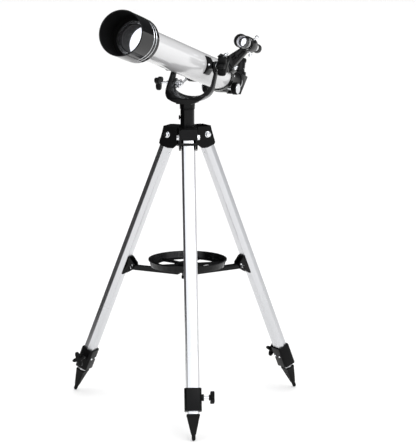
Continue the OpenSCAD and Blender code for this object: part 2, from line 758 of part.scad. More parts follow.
hub();
pillar();
hinge_bolts();
azimuth_lock();
yoke();
yoke_stem();
rod_clamp();
rod_clamp_knob();
altitude_rod();
altitude_knob_right();
altitude_knob_left();
tube();
dew_shield();
lens_ring();
objective_lens();
tube_brackets();
rod_lug();
fasteners();
rear_cell();
focuser_body();
finder_bracket();
finder_tube();
finder_hood();
finder_lens();
finder_eyepiece();
finder_screw_top();
finder_screw_right();
finder_screw_left();
focus_shaft();
focus_knobs();
draw_tube();
rack();
diagonal_body();
diagonal_mirror();
eyepiece();
eye_cup();
tray();
tray_boss();
tray_screw();
upper_leg(front);  // front_upper_leg
upper_leg(right);  // right_upper_leg
upper_leg(left);  // left_upper_leg
leg_collar(front);  // front_collar
leg_collar(right);  // right_collar
leg_collar(left);  // left_collar
brace_bracket(front);  // front_brace_bracket
brace_bracket(right);  // right_brace_bracket
brace_bracket(left);  // left_brace_bracket
brace_arm(front);  // front_brace_arm
brace_arm(right);  // right_brace_arm
brace_arm(left);  // left_brace_arm
lower_leg(front);  // front_lower_leg
lower_leg(right);  // right_lower_leg
lower_leg(left);  // left_lower_leg
foot(front);  // front_foot
foot(right);  // right_foot
foot(left);  // left_foot
leg_knob(front);  // front_leg_knob
leg_knob(right);  // right_leg_knob
leg_knob(left);  // left_leg_knob
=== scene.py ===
# %% [markdown]
# # A small refractor telescope on a three-legged tripod
# A white tube with a glossy black dew shield rides in a black fork, above three
# pale aluminium legs. Almost everything on it is turned on a lathe, extruded or
# moulded, so this lesson makes three kinds of piece: turned ones from an outline
# spun round an axis, extruded ones from a flat outline, and moulded ones, which
# take the exact solid of the engineering model and round its edges over.
# %% Load the frame
import json
import math

import bmesh
import bpy
from mathutils import Matrix, Vector


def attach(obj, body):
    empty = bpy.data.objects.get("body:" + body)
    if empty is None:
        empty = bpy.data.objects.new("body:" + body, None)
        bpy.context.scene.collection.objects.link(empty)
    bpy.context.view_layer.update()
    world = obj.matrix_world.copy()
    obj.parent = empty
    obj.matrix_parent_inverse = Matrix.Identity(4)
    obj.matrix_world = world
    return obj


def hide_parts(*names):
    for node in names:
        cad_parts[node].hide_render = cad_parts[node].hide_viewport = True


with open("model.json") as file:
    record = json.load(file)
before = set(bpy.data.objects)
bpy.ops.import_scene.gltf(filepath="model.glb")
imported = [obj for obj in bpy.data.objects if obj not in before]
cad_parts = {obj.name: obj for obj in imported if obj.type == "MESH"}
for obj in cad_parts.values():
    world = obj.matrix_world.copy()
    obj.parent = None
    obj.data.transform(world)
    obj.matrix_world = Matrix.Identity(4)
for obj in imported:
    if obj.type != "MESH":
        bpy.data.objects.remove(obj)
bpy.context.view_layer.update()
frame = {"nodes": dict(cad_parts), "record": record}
nodes = frame["nodes"]

# %% [markdown]
# ## Where things are
# The telescope leans, turns and spreads, but every piece is simple in its own
# frame: a leg runs down its own Z, and the tube runs along its own X. One matrix
# for each frame carries a piece from there to its place, so no piece is ever
# turned as an object, and its place ends up in its mesh.
# %% Frames of the legs, the fork, the tube and the finder
MM = 0.001
hinge_z, hinge_r, splay, front_turn = 585.4, 38.0, 22.4, 2.9
azimuth, pivot_back, pivot_z, elevation = -111.9, 42.0, 727.5, 15.7
finder_turn, finder_off, eyepiece_x = 47.0, 96.5, -256.0
leg_names = ["front", "right", "left"]


def turn(degrees, axis):
    return Matrix.Rotation(math.radians(degrees), 4, axis)


def shift(x, y, z):
    return Matrix.Translation((x, y, z))


leg_turns = {n: turn(a + front_turn, "Z") for n, a in zip(leg_names, (-90, 30, 150))}
on_leg = {n: leg_turns[n] @ shift(hinge_r, 0, hinge_z) @ turn(-splay, "Y") for n in leg_names}
on_yoke = turn(azimuth, "Z")
on_tube = on_yoke @ shift(-pivot_back, 0, pivot_z) @ turn(-elevation, "Y")
on_finder = on_tube @ turn(-finder_turn, "X") @ shift(0, 0, finder_off)
on_eyepiece = on_tube @ shift(eyepiece_x, 0, 0) @ turn(-90, "Y")
print("tube points along", [round(v, 3) for v in on_tube.to_3x3() @ Vector((1, 0, 0))])

# %% [markdown]
# ## Finishes
# No real surface is one even colour. Paint has a faint orange peel, moulded
# plastic has a fine grain and spots that are a little shinier where hands have
# been, and anodised legs carry the long, fine lines of the die they were pushed
# through. Each finish here is a Principled shader whose roughness and bump come
# from noise on the object's own coordinates, so it stays put in every pose.
# %% A helper for finishes
def finish(name, colour, rough, metallic=0.0, coat=0.0, grain=900.0, bump=0.05, vary=0.08,
           tint=0.06, stretch=(1, 1, 1), specular=0.5, lean=None):
    """A procedural finish: noise moves its colour, roughness and bump a little."""
    mat = bpy.data.materials.new(name)
    mat.use_nodes = True
    tree = mat.node_tree
    shader = tree.nodes["Principled BSDF"]
    shader.inputs["Metallic"].default_value = metallic
    shader.inputs["Coat Weight"].default_value = coat
    shader.inputs["Coat Roughness"].default_value = 0.06
    shader.inputs["Specular IOR Level"].default_value = specular
    place = tree.nodes.new("ShaderNodeTexCoord")
    scale = tree.nodes.new("ShaderNodeMapping")
    scale.inputs["Scale"].default_value = stretch
    if lean is not None:
        scale.inputs["Rotation"].default_value = lean
    tree.links.new(place.outputs["Object"], scale.inputs["Vector"])
    broad = tree.nodes.new("ShaderNodeTexNoise")
    broad.inputs["Scale"].default_value = 14.0
    broad.inputs["Detail"].default_value = 5.0
    fine = tree.nodes.new("ShaderNodeTexNoise")
    fine.inputs["Scale"].default_value = grain
    fine.inputs["Detail"].default_value = 3.0
    for noise in (broad, fine):
        tree.links.new(scale.outputs["Vector"], noise.inputs["Vector"])
    colours = tree.nodes.new("ShaderNodeValToRGB")
    low, high = colours.color_ramp.elements
    low.position, high.position = 0.3, 0.7
    low.color = [c * (1 - tint) for c in colour] + [1]
    high.color = [min(1.0, c * (1 + tint)) for c in colour] + [1]
    tree.links.new(broad.outputs["Fac"], colours.inputs["Fac"])
    tree.links.new(colours.outputs["Color"], shader.inputs["Base Color"])
    roughness = tree.nodes.new("ShaderNodeMapRange")
    roughness.inputs["To Min"].default_value = max(0.02, rough - vary)
    roughness.inputs["To Max"].default_value = rough + vary
    tree.links.new(broad.outputs["Fac"], roughness.inputs["Value"])
    tree.links.new(roughness.outputs["Result"], shader.inputs["Roughness"])
    if bump:
        relief = tree.nodes.new("ShaderNodeBump")
        relief.inputs["Strength"].default_value = bump
        relief.inputs["Distance"].default_value = 0.0004
        tree.links.new(fine.outputs["Fac"], relief.inputs["Height"])
        tree.links.new(relief.outputs["Normal"], shader.inputs["Normal"])
    return mat


# %% The finishes of this telescope
black_metal = finish("black_metal", (0.0015, 0.0015, 0.0017), 0.22, grain=700, bump=0.08, specular=0.2)
black_plastic = finish("black_plastic", (0.0018, 0.0018, 0.002), 0.33, grain=1600, bump=0.16,
                       specular=0.12)
black_gloss = finish("black_gloss", (0.001, 0.001, 0.0013), 0.08, grain=160, bump=0.02,
                     vary=0.03, specular=0.16)
black_inside = finish("black_inside", (0.003, 0.003, 0.003), 0.85, grain=1800, bump=0.3,
                      specular=0.15)
white_paint = finish("white_paint", (0.8, 0.8, 0.81), 0.16, coat=0.6, grain=180, bump=0.03,
                     vary=0.03, tint=0.015)
leg_alloy = {}
for leg_name in leg_names:
    # the noise is drawn out along the leg, so its lines run the way the die pulled them
    lean = on_leg[leg_name].to_3x3().transposed().to_euler()
    leg_alloy[leg_name] = finish(f"leg_alloy_{leg_name}", (0.6, 0.605, 0.62), 0.28, metallic=1.0,
                                 grain=220, bump=0.25, stretch=(1, 1, 0.02), lean=lean, tint=0.04)
alloy = finish("alloy", (0.72, 0.73, 0.75), 0.25, metallic=1.0, grain=500, bump=0.05)
chrome = finish("chrome", (0.78, 0.79, 0.81), 0.08, metallic=1.0, grain=300, bump=0.02, vary=0.04)
rubber = finish("rubber", (0.004, 0.004, 0.004), 0.55, grain=2200, bump=0.3, specular=0.12)
mirror = finish("mirror", (0.9, 0.9, 0.92), 0.03, metallic=1.0, grain=300, bump=0.0, vary=0.01)
print("finishes:", len(bpy.data.materials))

# %% [markdown]
# ## Coated glass
# The front lens looks almost white with a lavender cast, because it has a
# coating and reflects a bright window. Its finish is a very smooth mirror-like
# coating, pale in the middle, that turns lavender where it is seen at a slant.
# %% The lens finish
def glass_finish(name, face, rim):
    mat = finish(name, face, 0.05, metallic=0.9, grain=60, bump=0.0, vary=0.01, tint=0.03)
    tree = mat.node_tree
    shader = tree.nodes["Principled BSDF"]
    shader.inputs["IOR"].default_value = 1.6
    facing = tree.nodes.new("ShaderNodeLayerWeight")
    facing.inputs["Blend"].default_value = 0.35
    mix = tree.nodes.new("ShaderNodeMix")
    mix.data_type = "RGBA"
    mix.inputs["B"].default_value = (*rim, 1)
    was = shader.inputs["Base Color"].links[0].from_socket
    tree.links.new(facing.outputs["Facing"], mix.inputs["Factor"])
    tree.links.new(was, mix.inputs["A"])
    tree.links.new(mix.outputs["Result"], shader.inputs["Base Color"])
    return mat


lens_glass = glass_finish("lens_glass", (0.93, 0.93, 0.96), (0.5, 0.48, 0.72))

# %% [markdown]
# ## Helpers for the pieces
# A turned piece is an outline of (place along the axis, radius) points, spun
# round. An extruded piece is a flat outline, pulled along. Both are written
# straight into a bmesh in millimetres and carried to their place by a frame's
# matrix. The last helper merges doubles, turns the faces outwards, marks the
# real edges as sharp, and says which body the piece rides on.
# %% Spinning an outline round X
def lathe(bm, place, outline, steps=96, slots=None, closed=True):
    """Spins (x, r) points round X. slots gives a material index for each stretch."""
    rings = []
    for x, r in outline:
        if r < 1e-6:
            rings.append([bm.verts.new(place @ Vector((x, 0, 0)) * MM)] * steps)
            continue
        rings.append([bm.verts.new(place @ Vector((x, r * math.cos(a), r * math.sin(a))) * MM)
                      for a in (2 * math.pi * i / steps for i in range(steps))])
    made = []
    stretch = list(zip(rings, rings[1:] + rings[:1] if closed else rings[1:]))
    for number, (one, two) in enumerate(stretch):
        for i in range(steps):
            corners = [one[i], one[(i + 1) % steps], two[(i + 1) % steps], two[i]]
            corners = list(dict.fromkeys(corners))
            if len(corners) > 2:
                face = bm.faces.new(corners)
                face.material_index = slots[number] if slots else 0
                made.append(face)
    return made


# %% Pulling a flat outline along Z
def extrude(bm, place, outline, z0, z1, slot=0):
    low = [bm.verts.new(place @ Vector((x, y, z0)) * MM) for x, y in outline]
    high = [bm.verts.new(place @ Vector((x, y, z1)) * MM) for x, y in outline]
    sides = [bm.faces.new((low[i - 1], low[i], high[i], high[i - 1])) for i in range(len(outline))]
    made = sides + [bm.faces.new(low[::-1]), bm.faces.new(high)]
    for face in made:
        face.material_index = slot
    return made


def rounded(points, radius, steps=4):
    """The same outline with its corners rounded over."""
    result = []
    for i, p in enumerate(points):
        a, b, c = Vector(points[i - 1]), Vector(p), Vector(points[(i + 1) % len(points)])
        one, two = (a - b), (c - b)
        cut = min(radius, one.length / 2.2, two.length / 2.2)
        start, end = b + one.normalized() * cut, b + two.normalized() * cut
        for k in range(steps + 1):
            t = k / steps
            result.append(tuple((1 - t) ** 2 * start + 2 * t * (1 - t) * b + t ** 2 * end))
    return result


# %% Turning a bmesh into a piece that rides on a body
def piece(name, bm, body, mats, replaces=(), smooth=34):
    bmesh.ops.remove_doubles(bm, verts=bm.verts, dist=2e-6)
    bmesh.ops.recalc_face_normals(bm, faces=bm.faces)
    mesh = bpy.data.meshes.new(name)
    bm.to_mesh(mesh)
    bm.free()
    for mat in mats if isinstance(mats, (list, tuple)) else [mats]:
        mesh.materials.append(mat)
    mesh.shade_smooth()
    mesh.set_sharp_from_angle(angle=math.radians(smooth))
    obj = bpy.data.objects.new(name, mesh)
    bpy.context.scene.collection.objects.link(obj)
    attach(obj, body)
    if replaces:
        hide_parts(*replaces)
    print(name, len(mesh.polygons), "faces on", body)
    return obj


# %% [markdown]
# ## Moulded and cast pieces
# Castings and mouldings have small rounds on every edge, and those rounds are
# what catches the light. Their solids are already exact in the engineering
# model, so a merged copy of each is freed of its flat triangles and gets a
# bevel on its real edges. The engineering model's own mesh stays as it was.
# %% A rounded copy of a solid
body_of = {n: b for b, ns in frame["record"]["behaviour"]["bodies"].items() for n in ns}


def moulded(node, mat, width=0.6, steps=2, angle=32, name=None):
    bm = bmesh.new()
    bm.from_mesh(nodes[node].data)
    bmesh.ops.remove_doubles(bm, verts=bm.verts, dist=2e-6)
    bmesh.ops.dissolve_limit(bm, angle_limit=math.radians(1.0), verts=bm.verts, edges=bm.edges)
    mesh = bpy.data.meshes.new(node)
    bm.to_mesh(mesh)
    bm.free()
    source = bpy.data.objects.new(node + "_source", mesh)
    bpy.context.scene.collection.objects.link(source)
    bevel = source.modifiers.new("round", "BEVEL")
    bevel.width, bevel.segments, bevel.limit_method = width * MM, steps, "ANGLE"
    bevel.angle_limit = math.radians(angle)
    bevel.use_clamp_overlap = True
    bevel.miter_outer = "MITER_ARC"
    done = bpy.data.meshes.new_from_object(source.evaluated_get(
        bpy.context.evaluated_depsgraph_get()))
    bpy.data.objects.remove(source)
    bm = bmesh.new()
    bm.from_mesh(done)
    bpy.data.meshes.remove(done)
    for face in bm.faces:
        face.material_index = 0
    return piece(name or node + "_skin", bm, body_of[node], mat, [node])


# %% [markdown]
# ## The optical tube
# A thin metal tube in gloss white paint. Seen from the side it is a plain
# cylinder, but its rim is rolled a little where the rear cell grips it.
# %% White tube
tube_r, tube_rear = 31.5, 140.0
mouth_x, shield_len, shield_r = 398.0, 94.0, 46.4
shield_rear = mouth_x - shield_len
cell_x, lens_r, ring_r = 24.0, 29.0, 36.0
mouth_r = shield_r - 2.4
bm = bmesh.new()
lathe(bm, on_tube, [(-tube_rear, tube_r - 0.3), (-tube_rear + 0.3, tube_r), (shield_rear + 9.7, tube_r),
                    (shield_rear + 9.9, tube_r - 1.2), (-tube_rear, tube_r - 1.2)], 160)
piece("tube_skin", bm, "tube", white_paint, ["tube"])

# %% [markdown]
# ## Dew shield
# The black shield in front keeps dew and stray light off the lens. It is turned
# with a few narrow steps and grooves behind, which show as bright rings, and it
# is matt inside. One outline makes both, with a second finish on the inner
# stretches and a third, polished one on the edges of the steps.
# %% Stepped shield
outer = [(0, shield_r - 3.0), (0.5, shield_r - 2.6), (5, shield_r - 2.6), (5.6, shield_r - 1.0),
         (6.3, shield_r - 0.6), (16.6, shield_r - 0.6), (17.3, shield_r - 0.9), (17.8, shield_r - 1.5),
         (20, shield_r - 1.5), (20.5, shield_r - 0.7), (21.2, shield_r - 0.3), (29.6, shield_r - 0.3),
         (30.3, shield_r - 0.6), (30.8, shield_r - 1.2), (33, shield_r - 1.2), (33.5, shield_r - 0.4),
         (34.2, shield_r), (shield_len - 1.2, shield_r), (shield_len - 0.4, shield_r - 0.3),
         (shield_len, shield_r - 0.9), (shield_len, mouth_r + 0.5), (shield_len - 0.5, mouth_r)]
inner = [(cell_x + 4, mouth_r), (cell_x + 4, ring_r), (cell_x + 0.05, ring_r), (cell_x + 0.05, lens_r),
         (cell_x - 14, lens_r), (cell_x - 14, tube_r), (0, tube_r)]
bm = bmesh.new()
# stretches 3, 6, 9, 12 and 15 are the slanted edges of the steps
finishes = [0] * (len(outer) - 1) + [1] * (len(inner) + 1)
for number in (3, 6, 9, 12, 15):
    finishes[number] = 2
lathe(bm, on_tube @ shift(shield_rear, 0, 0), outer + inner, 160, slots=finishes)
piece("dew_shield_skin", bm, "tube", [black_gloss, black_inside, chrome],
      ["dew_shield"], 20)

# %% [markdown]
# ## Lens and its ring
# A threaded ring holds the pair of lenses in the cell. It is blackened, but
# some of its lands are worn bright, and show as a few thin circles. The glass bulges forward, so its
# outline is an arc and the spun surface is smooth.
# %% Retaining ring
bm = bmesh.new()
ring_lines = [(shield_rear + cell_x + 0.1, ring_r - 0.1)]
for k in range(6):
    r = ring_r - 0.3 - k * 1.05
    ring_lines += [(shield_rear + cell_x + 3.9, r), (shield_rear + cell_x + 3.9, r - 0.6),
                   (shield_rear + cell_x + 3.4, r - 0.75), (shield_rear + cell_x + 3.4, r - 0.95)]
ring_lines += [(shield_rear + cell_x + 3.2, lens_r + 0.7), (shield_rear + cell_x + 0.1, lens_r + 0.7)]
bright = (1, 9, 17)
lands = [1 if number in bright else 0 for number in range(len(ring_lines))]
lathe(bm, on_tube, ring_lines, 128, slots=lands)
piece("lens_ring_skin", bm, "tube", [black_metal, alloy], ["lens_ring"])

# %% Front lens
bm = bmesh.new()
lens_at = shield_rear + cell_x - 6
radii = [lens_r * 0.995 * i / 24 for i in range(25)]
dome = [(lens_at + 4.4 - 0.7 * (r / lens_r) ** 2, r) for r in radii]
hollow = [(lens_at - 4.9 + 1.1 * (r / lens_r) ** 2, r) for r in reversed(radii)]
lathe(bm, on_tube, dome + hollow, 96, closed=False)
piece("objective_lens_skin", bm, "tube", lens_glass, ["objective_lens"], 60)

# %% [markdown]
# ## Rear cell, focuser and draw tube
# Behind the tube a black cell carries the focuser, and the chrome draw tube
# slides in it on a rack. The cell and the draw tube are turned; the housing is
# a moulding.
# %% Rear cell and draw tube
bm = bmesh.new()
rim = tube_r + 2.4
lathe(bm, on_tube, [(-tube_rear - 8, 25.2), (-tube_rear - 8, rim - 0.8), (-tube_rear - 7.2, rim),
                    (-tube_rear - 2.2, rim), (-tube_rear - 1.9, rim - 0.5), (-tube_rear - 1.3, rim - 0.5),
                    (-tube_rear - 1, rim), (-tube_rear + 5.4, rim), (-tube_rear + 6, rim - 0.5),
                    (-tube_rear + 6, tube_r + 0.02), (-tube_rear - 0.02, tube_r + 0.02),
                    (-tube_rear - 0.02, 25.2)], 128)
piece("rear_cell_skin", bm, "tube", black_metal, ["rear_cell"])
bm = bmesh.new()
draw_r, draw_front, draw_rear = 17.5, -118.0, -233.0
lathe(bm, on_tube, [(draw_front, draw_r - 1.6), (draw_front, draw_r - 0.2), (draw_front - 0.2, draw_r),
                    (draw_rear + 6.2, draw_r), (draw_rear + 6, draw_r + 2.4),
                    (draw_rear + 5.4, draw_r + 3), (draw_rear + 3.4, draw_r + 3),
                    (draw_rear + 3.1, draw_r + 2.5), (draw_rear + 2.5, draw_r + 2.5),
                    (draw_rear + 2.2, draw_r + 3), (draw_rear - 1.4, draw_r + 3),
                    (draw_rear - 2, draw_r + 2.4), (draw_rear - 2, draw_r - 1.6)], 96)
piece("draw_tube_skin", bm, "draw_tube", chrome, ["draw_tube"])
moulded("focuser_body", black_plastic, 0.7, 3)
moulded("rack", black_plastic, 0.1, 1)
moulded("focus_shaft", chrome, 0.15, 1)

# %% [markdown]
# ## Knurls, screws and rivets
# Things that repeat are made once and placed many times. A Geometry Nodes tree
# takes bare points, each with the direction it faces, puts one small shape on
# every point, and makes the copies real. The same tree serves the ribs round a
# knob and the rivets on a leg; only its inputs change.
# %% A tree that puts a small turned head on every point
def heads_tree():
    tree = bpy.data.node_groups.new("heads_on_points", "GeometryNodeTree")
    sockets = {}
    face = tree.interface
    face.new_socket("Points", in_out="INPUT", socket_type="NodeSocketGeometry")
    for label, value in (("Radius", 0.002), ("Height", 0.001), ("Top Radius", 0.0015)):
        item = face.new_socket(label, in_out="INPUT", socket_type="NodeSocketFloat")
        item.default_value = value
        sockets[label] = item.identifier
    item = face.new_socket("Sides", in_out="INPUT", socket_type="NodeSocketInt")
    item.default_value = 12
    sockets["Sides"] = item.identifier
    item = face.new_socket("Finish", in_out="INPUT", socket_type="NodeSocketMaterial")
    sockets["Finish"] = item.identifier
    face.new_socket("Heads", in_out="OUTPUT", socket_type="NodeSocketGeometry")
    inside, out = tree.nodes.new("NodeGroupInput"), tree.nodes.new("NodeGroupOutput")
    head = tree.nodes.new("GeometryNodeMeshCone")
    head.inputs["Side Segments"].default_value = 1
    lift = tree.nodes.new("GeometryNodeTransform")
    facing = tree.nodes.new("GeometryNodeInputNamedAttribute")
    facing.data_type = "FLOAT_VECTOR"
    facing.inputs["Name"].default_value = "facing"
    aim = tree.nodes.new("FunctionNodeAlignRotationToVector")
    aim.axis = "Z"
    scatter = tree.nodes.new("GeometryNodeInstanceOnPoints")
    real = tree.nodes.new("GeometryNodeRealizeInstances")
    paint = tree.nodes.new("GeometryNodeSetMaterial")
    link = tree.links.new
    link(inside.outputs["Sides"], head.inputs["Vertices"])
    link(inside.outputs["Radius"], head.inputs["Radius Bottom"])
    link(inside.outputs["Top Radius"], head.inputs["Radius Top"])
    link(inside.outputs["Height"], head.inputs["Depth"])
    link(head.outputs["Mesh"], lift.inputs["Geometry"])
    link(facing.outputs["Attribute"], aim.inputs["Vector"])
    link(inside.outputs["Points"], scatter.inputs["Points"])
    link(lift.outputs["Geometry"], scatter.inputs["Instance"])
    link(aim.outputs["Rotation"], scatter.inputs["Rotation"])
    link(scatter.outputs["Instances"], real.inputs["Geometry"])
    link(real.outputs["Geometry"], paint.inputs["Geometry"])
    link(inside.outputs["Finish"], paint.inputs["Material"])
    link(paint.outputs["Geometry"], out.inputs["Heads"])
    return tree, sockets


heads_group, heads_sockets = heads_tree()
print("inputs of the tree:", list(heads_sockets))


# %% Running the tree and keeping its result as a plain mesh
def heads(name, spots, body, mat, radius, height, top=None, sides=12):
    """spots is a list of (place, direction) pairs in metres and in the world's frame."""
    mesh = bpy.data.meshes.new(name + "_points")
    mesh.from_pydata([tuple(p) for p, d in spots], [], [])
    facing = mesh.attributes.new("facing", "FLOAT_VECTOR", "POINT")
    for i, (p, d) in enumerate(spots):
        facing.data[i].vector = d
    carrier = bpy.data.objects.new(name + "_points", mesh)
    bpy.context.scene.collection.objects.link(carrier)
    modifier = carrier.modifiers.new("heads", "NODES")
    modifier.node_group = heads_group
    values = {"Radius": radius * MM, "Height": height * MM, "Sides": sides, "Finish": mat,
              "Top Radius": (radius * 0.8 if top is None else top) * MM}
    for label, value in values.items():
        modifier[heads_sockets[label]] = value
    bpy.context.view_layer.update()
    done = bpy.data.meshes.new_from_object(carrier.evaluated_get(
        bpy.context.evaluated_depsgraph_get()))
    bpy.data.objects.remove(carrier)
    bm = bmesh.new()
    bm.from_mesh(done)
    bpy.data.meshes.remove(done)
    return piece(name, bm, body, mat, smooth=30)


def spot(place, at, towards):
    """A head's place and direction, given in a frame's own millimetres."""
    return place @ Vector(at) * MM, (place.to_3x3() @ Vector(towards)).normalized()


# %% [markdown]
# ## Focus knobs
# Two black wheels with a ribbed rim on one shaft. The end of each is a polished
# cap. The ribs come from the tree above: narrow cones laid round the rim.
# %% Focus wheels
shaft_x, shaft_z = -161.0, -24.45
on_shaft = on_tube @ shift(shaft_x, 0, shaft_z) @ turn(90, "Z")
bm = bmesh.new()
cap = bmesh.new()
for side in (-1, 1):
    lathe(bm, on_shaft, [(side * x, r) for x, r in
                         ((27.5, 2.42), (27.5, 11.8), (28.3, 12.6), (38.2, 12.6), (39, 11.9),
                          (39.2, 11.2), (39.2, 2.42))], 96)
    lathe(cap, on_shaft, [(side * x, r) for x, r in
                          ((39.2, 0), (39.2, 11.2), (40.2, 11.2), (40.9, 10.4), (41, 0))],
          96, closed=False)
piece("focus_knobs_skin", bm, "focus_knobs", black_plastic, ["focus_knobs"])
piece("focus_knob_caps", cap, "focus_knobs", chrome)
ribs = []
for side in (-1, 1):
    for i in range(36):
        a = 2 * math.pi * i / 36
        for x in (30.0, 32.5, 35.0, 37.0):
            ribs.append(spot(on_shaft, (side * x, 12.75 * math.cos(a), 12.75 * math.sin(a)),
                             (0, math.cos(a), math.sin(a))))
heads("focus_knob_ribs", ribs, "focus_knobs", black_plastic, 0.9, 0.7, 0.35, 6)

# %% [markdown]
# ## Diagonal and eyepiece
# The diagonal turns the light upwards to the eyepiece. The eyepiece has a
# chrome barrel with black bands, and a soft cup at the top.
# %% Diagonal, eyepiece and eye cup
moulded("diagonal_body", black_plastic, 0.8, 3)
moulded("diagonal_mirror", mirror, 0.1, 1)
bm = bmesh.new()
bands = [(14, 11), (14, 12.4), (25.3, 12.4), (25.3, 13.4), (25.6, 13.6), (28.8, 13.6), (29.3, 13),
         (32.2, 13), (32.7, 13.6), (40, 13.6), (40.2, 13.2), (40.8, 13.2), (41, 13.6), (46.9, 13.6),
         (46.9, 9), (36, 9), (34, 11)]
dark = [0, 0, 0, 1, 1, 1, 1, 0, 1, 1, 1, 0, 1, 1, 1, 1, 1]
lathe(bm, on_eyepiece, bands, 96, slots=dark)
piece("eyepiece_skin", bm, "eyepiece", [chrome, black_metal], ["eyepiece"])
bm = bmesh.new()
cup_z = 47.0
lathe(bm, on_eyepiece, [(cup_z, 7), (cup_z, 14.4), (cup_z + 0.5, 15), (cup_z + 1.2, 15.2),
                        (cup_z + 2, 15.2), (cup_z + 2.5, 14.9), (cup_z + 3, 15.2), (cup_z + 5.6, 15.2),
                        (cup_z + 7.6, 14.4), (cup_z + 8.8, 13.4), (cup_z + 9, 12.6), (cup_z + 8.7, 12),
                        (cup_z + 6, 10.6), (cup_z + 4, 9.4), (cup_z + 3, 7)], 96)
piece("eye_cup_skin", bm, "eyepiece", rubber, ["eye_cup"])

# %% [markdown]
# ## Finder
# A small sighting telescope in a ring on a bent arm. Three screws hold it in
# the ring, so it can be tilted until it agrees with the main tube.
# %% Finder tube, hood, glass and eyepiece
bm = bmesh.new()
lathe(bm, on_finder, [(-160, 7), (-160, 8.2), (-159.8, 8.4), (-136.2, 8.4), (-135, 10), (-98.3, 10),
                      (-97.4, 11.8), (-96.4, 12.8), (-95.8, 13), (-78.2, 13), (-78, 12.8), (-78, 11.6),
                      (-96.5, 11.6), (-96.5, 7)], 96)
piece("finder_tube_skin", bm, "tube", white_paint, ["finder_tube"])
bm = bmesh.new()
lathe(bm, on_finder, [(-84, 13.02), (-84, 14.4), (-83.6, 14.8), (-81, 14.8), (-80.8, 14.5),
                      (-80.2, 14.5), (-80, 14.8), (-66.6, 14.8), (-66, 14.3), (-66, 13.7), (-66.3, 13.4),
                      (-78, 13.4), (-78, 13.02)], 96,
      slots=[0] * 9 + [1] * 4)
lathe(bm, on_finder, [(-100.6, 10.02), (-100.6, 13.4), (-100.2, 13.8), (-98.4, 13.8), (-98, 13.4),
                      (-98, 10.02)], 96)
piece("finder_hood_skin", bm, "tube", [black_metal, black_inside], ["finder_hood"])
bm = bmesh.new()
lathe(bm, on_finder, [(-80.1 - 1.3 * (r / 11.5) ** 2, r) for r in [11.5 * i / 12 for i in range(13)]]
      + [(-82.9, r) for r in (11.5, 6, 0)], 64, closed=False)
piece("finder_lens_skin", bm, "tube", lens_glass, ["finder_lens"], 60)
bm = bmesh.new()
lathe(bm, on_finder, [(-158.5, 8.5), (-158.5, 9.6), (-158.9, 10), (-160.4, 10), (-160.7, 9.6),
                      (-161.5, 9.6), (-161.8, 10), (-172.4, 10), (-173, 9.5), (-173, 8.6), (-174.6, 8.6),
                      (-175, 8.2), (-175, 5), (-174.6, 4.6), (-170, 4.6), (-170, 8.5)], 96)
piece("finder_eyepiece_skin", bm, "finder_eyepiece", black_plastic,
      ["finder_eyepiece"])

# %% Ribs round the finder's eyepiece and its adjusting screws
ring_ribs = []
for i in range(40):
    a = 2 * math.pi * i / 40
    for x in (-164.5, -167, -169.5):
        ring_ribs.append(spot(on_finder, (x, 9.75 * math.cos(a), 9.75 * math.sin(a)),
                              (0, math.cos(a), math.sin(a))))
heads("finder_eyepiece_ribs", ring_ribs, "finder_eyepiece", black_plastic,
      0.55, 0.24, 0.3, 6)
for name, angle in (("top", 0), ("right", -117), ("left", 117)):
    on_screw = on_finder @ turn(angle, "X") @ shift(-116, 0, 0) @ turn(-90, "Y")
    bm = bmesh.new()
    lathe(bm, on_screw, [(10.3, 0), (10.3, 1.2), (10.6, 1.55), (22, 1.55), (22, 3.2), (22.3, 3.55),
                         (26.6, 3.55), (27, 3.1), (27, 0)], 48, closed=False)
    piece(f"finder_screw_{name}_skin", bm, f"finder_screw_{name}", chrome,
          [f"finder_screw_{name}"])
moulded("finder_bracket", black_metal, 0.6, 2)
moulded("fasteners", chrome, 0.3, 2)

# %% [markdown]
# ## Fork, trunnions and rod
# The fork is one casting: two arms and a deep bend. The tube hangs in it on two
# bolts through flared brackets. A polished rod under the tube runs through a
# clamp on the left arm and holds the height.
# %% Fork and its fittings
moulded("yoke", black_metal, 1.1, 3)
moulded("tube_brackets", black_plastic, 0.9, 3)
moulded("rod_lug", black_metal, 0.5, 2)
moulded("rod_clamp", chrome, 0.4, 2)
moulded("altitude_rod", chrome, 0.3, 2)

# %% [markdown]
# ## Lobed grips
# The knobs are moulded grips with round lobes, domed over. Each starts as a
# flat outline of lobes and valleys, is stacked up in a few layers that shrink
# towards the top and bottom, and so gets its soft shoulders.
# %% An outline of lobes
def lobes(count, reach, core, sharp=1.0, points=96):
    result = []
    for i in range(points):
        a = 2 * math.pi * i / points
        wave = (0.5 + 0.5 * math.cos(count * a)) ** sharp
        result.append((core + (reach - core) * wave, a))
    return result


def grip(bm, place, count, reach, core, z0, z1, sharp=1.0, crown=2.2, spin=0.0, slot=0):
    """Stacks the outline in layers: narrow, full, full, narrow, and a shallow dome."""
    height = z1 - z0
    layers = [(0.0, -crown), (0.12, -crown * 0.3), (0.3, 0.0), (0.7, 0.0), (0.88, -crown * 0.35),
              (0.97, -crown), (1.0, -crown * 1.8)]
    rings = []
    for part, inset in layers:
        rings.append([bm.verts.new(place @ Vector(((r + inset) * math.cos(a + spin),
                                                   (r + inset) * math.sin(a + spin),
                                                   z0 + part * height)) * MM)
                      for r, a in lobes(count, reach, core, sharp)])
    for one, two in zip(rings, rings[1:]):
        for i in range(len(one)):
            bm.faces.new((one[i - 1], one[i], two[i], two[i - 1])).material_index = slot
    bm.faces.new(rings[0][::-1]).material_index = slot
    bm.faces.new(rings[-1]).material_index = slot


